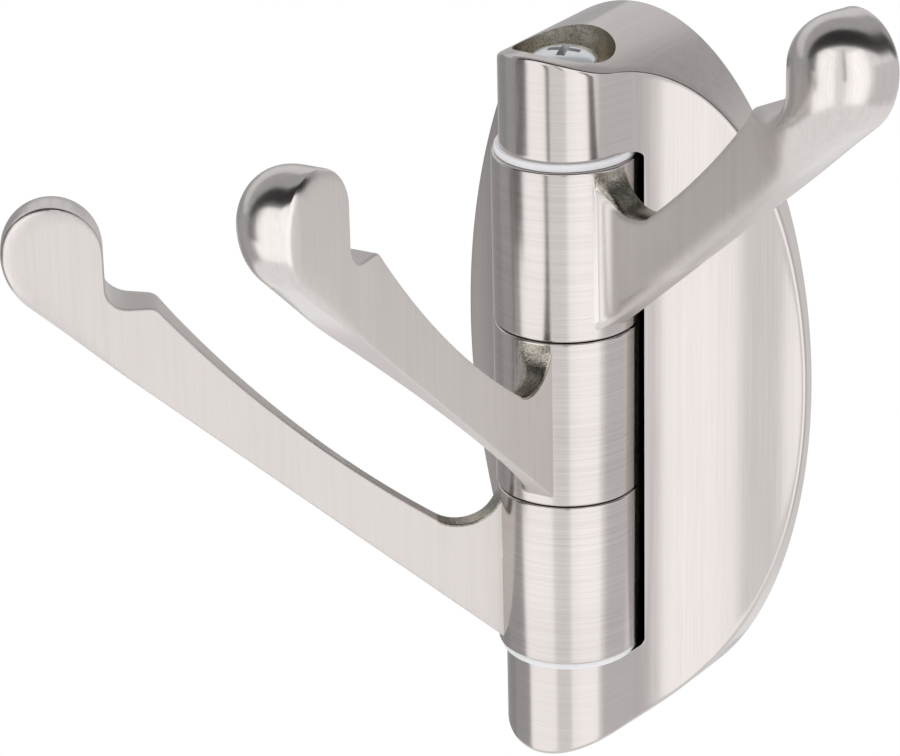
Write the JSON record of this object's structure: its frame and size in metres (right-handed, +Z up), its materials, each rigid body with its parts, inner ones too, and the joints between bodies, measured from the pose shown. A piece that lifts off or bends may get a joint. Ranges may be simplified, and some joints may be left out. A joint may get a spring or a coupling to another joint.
{
  "type": "folding wall hook",
  "caption": "Swivel wall hook: oval bell-shaped back plate with upper and lower ears that hold a stack of swinging coat arms with knobbed tips on a vertical pivot screw.",
  "frame": {"origin": "centre of the plate's flat back face, where it meets the wall", "axes": "+Z up along the pivot axis, +Y into the wall, the hooks stand out towards -Y"},
  "size_m": [0.1027, 0.0812, 0.1042],
  "materials": {
    "satin_nickel": "fine brushed satin nickel plating on cast zinc",
    "white_nylon": "plain white moulded nylon",
    "zinc_plated_steel": "bright zinc plating"
  },
  "bodies": {
    "wall_bracket": {"wall_plate": "satin_nickel", "washer_upper": "white_nylon", "washer_lower": "white_nylon", "pivot_screw": "zinc_plated_steel"},
    "upper_hook": {"hook_arm_upper": "satin_nickel"},
    "middle_hook": {"hook_arm_middle": "satin_nickel"},
    "lower_hook": {"hook_arm_lower": "satin_nickel"}
  },
  "joints": [
    {"name": "upper_swivel", "type": "hinge", "parent": "wall_bracket", "child": "upper_hook", "pos_m": [0, -0.016, 0], "axis": [0, 0, 1], "range_deg": [-149.5, 6.5]},
    {"name": "middle_swivel", "type": "hinge", "parent": "wall_bracket", "child": "middle_hook", "pos_m": [0, -0.016, 0], "axis": [0, 0, 1], "range_deg": [-84, 72]},
    {"name": "lower_swivel", "type": "hinge", "parent": "wall_bracket", "child": "lower_hook", "pos_m": [0, -0.016, 0], "axis": [0, 0, 1], "range_deg": [-28, 128]}
  ]
}
